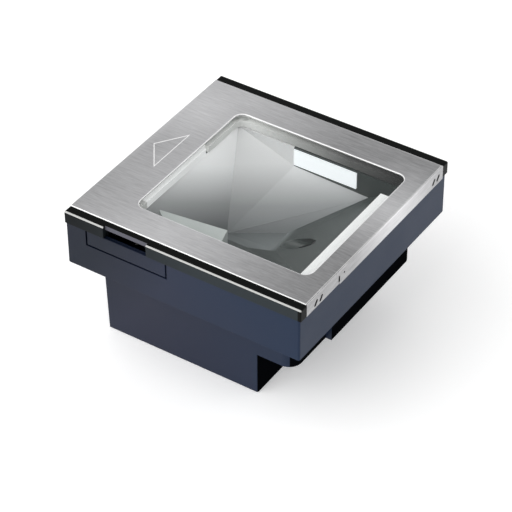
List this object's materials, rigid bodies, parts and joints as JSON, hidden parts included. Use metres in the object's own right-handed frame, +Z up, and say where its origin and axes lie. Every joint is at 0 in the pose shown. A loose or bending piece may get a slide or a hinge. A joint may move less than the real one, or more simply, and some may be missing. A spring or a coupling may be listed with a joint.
{
  "type": "flatbed barcode scanner",
  "caption": "Square drop-in flatbed barcode scanner with a steel top, glass window, mirrored optics, two-stage housing, ports and lift-off cover.",
  "frame": {"origin": "centre of the footprint, at the underside of the lower housing", "axes": "+Z up; -Y towards the operator, where the steel sheet folds down; +X to the operator's right"},
  "size_m": [0.1524, 0.1524, 0.0965],
  "materials": {
    "sheet_steel": "brushed",
    "black_plastic": "satin",
    "housing_plastic": "satin",
    "glass": "polished",
    "gasket_rubber": "matt",
    "white_film": "gloss",
    "diffuser_plastic": "frosted",
    "reflector_plastic": "satin",
    "mirror": "polished",
    "board": "solder mask",
    "component": "satin",
    "tinned_steel": "satin",
    "screw_steel": "plated",
    "port_plastic": "satin"
  },
  "bodies": {
    "housing": {"upper_housing": "housing_plastic", "side_hatch": "housing_plastic", "lower_housing": "housing_plastic", "optics_tub": "black_plastic", "main_mirror": "mirror", "corner_mirror": "mirror", "side_mirror": "mirror", "front_mirror": "mirror", "diffuser_bar": "diffuser_plastic", "side_reflector": "reflector_plastic", "led_board": "board", "illumination_leds": "white_film", "indicator_board": "board", "camera_board": "board", "image_sensor": "component", "lens_mount": "component", "lens_barrel": "component", "camera_lens": "glass", "main_board": "board", "board_chips": "component", "power_capacitors": "tinned_steel", "shield_can": "tinned_steel", "flex_socket": "component", "camera_flex": "white_film", "host_port": "port_plastic", "aux_port": "port_plastic", "power_inlet": "port_plastic", "button_switch": "component", "speaker": "component", "housing_screws": "screw_steel", "tub_screws": "screw_steel", "board_screws": "screw_steel", "camera_screws": "screw_steel"},
    "cover": {"top_sheet": "sheet_steel", "cover_frame": "black_plastic", "window_glass": "glass", "glass_gasket": "gasket_rubber", "front_strip": "white_film", "indicator_light_pipe": "diffuser_plastic"},
    "button": {"push_button": "component"}
  },
  "joints": [
    {"name": "cover_lift", "type": "slide", "parent": "housing", "child": "cover", "axis": [0, 0, 1], "range_m": [0, 0.04]},
    {"name": "push_press", "type": "slide", "parent": "housing", "child": "button", "axis": [0, 1, 0], "range_m": [0, 0.001], "stiffness_N_per_m": 900, "springref_m": -0.0005}
  ]
}
